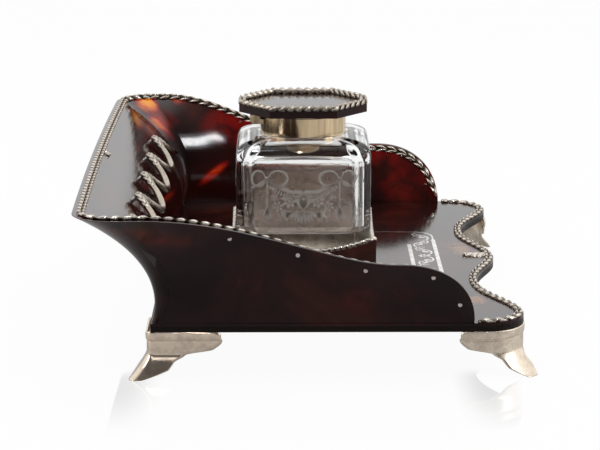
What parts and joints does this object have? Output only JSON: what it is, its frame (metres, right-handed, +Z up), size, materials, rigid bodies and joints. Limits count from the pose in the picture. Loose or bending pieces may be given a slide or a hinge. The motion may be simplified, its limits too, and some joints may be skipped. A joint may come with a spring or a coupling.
{
  "type": "inkwell",
  "caption": "Inkstand in dark tortoiseshell and silver with a square glass ink bottle, hinged octagonal lid, flared walls, pen rack and bracket feet.",
  "frame": {"origin": "middle of the box on the surface that the feet stand on", "axes": "+X to the open front, +Y across the stand to its left, +Z up"},
  "size_m": [0.1658, 0.2452, 0.0835],
  "materials": {
    "tortoiseshell": "polished",
    "silver": "polished",
    "glass": "clear",
    "gilt": "satin",
    "steel": "satin",
    "board_wood": "satin"
  },
  "bodies": {
    "stand": {"base_board": "board_wood", "base_veneer": "tortoiseshell", "base_inlay": "silver", "left_wall": "tortoiseshell", "right_wall": "tortoiseshell", "back_panel": "tortoiseshell", "left_border": "silver", "right_border": "silver", "back_border": "silver", "back_leaf": "silver", "front_border": "silver", "front_leaf": "silver", "wall_rivets": "silver", "back_left_foot": "silver", "back_right_foot": "silver", "front_left_foot": "silver", "front_right_foot": "silver", "foot_screws": "steel", "gallery": "silver", "gallery_border": "silver", "gallery_pins": "steel", "pen_rack": "silver", "rack_leaves": "silver", "rack_pegs": "silver"},
    "bottle": {"bottle_glass": "glass", "collar": "silver", "collar_hinge": "silver", "hinge_pin": "steel"},
    "lid": {"lid_plate": "tortoiseshell", "lid_border": "silver", "lid_cap": "silver", "lid_liner": "gilt", "lid_hinge": "silver"}
  },
  "joints": [
    {"name": "bottle_lift", "type": "slide", "parent": "stand", "child": "bottle", "axis": [0, 0, 1], "range_m": [0, 0.06]},
    {"name": "lid_hinge", "type": "hinge", "parent": "bottle", "child": "lid", "pos_m": [-0.01922, 0, 0.0764], "axis": [0, -1, 0], "range_deg": [0, 90]}
  ]
}
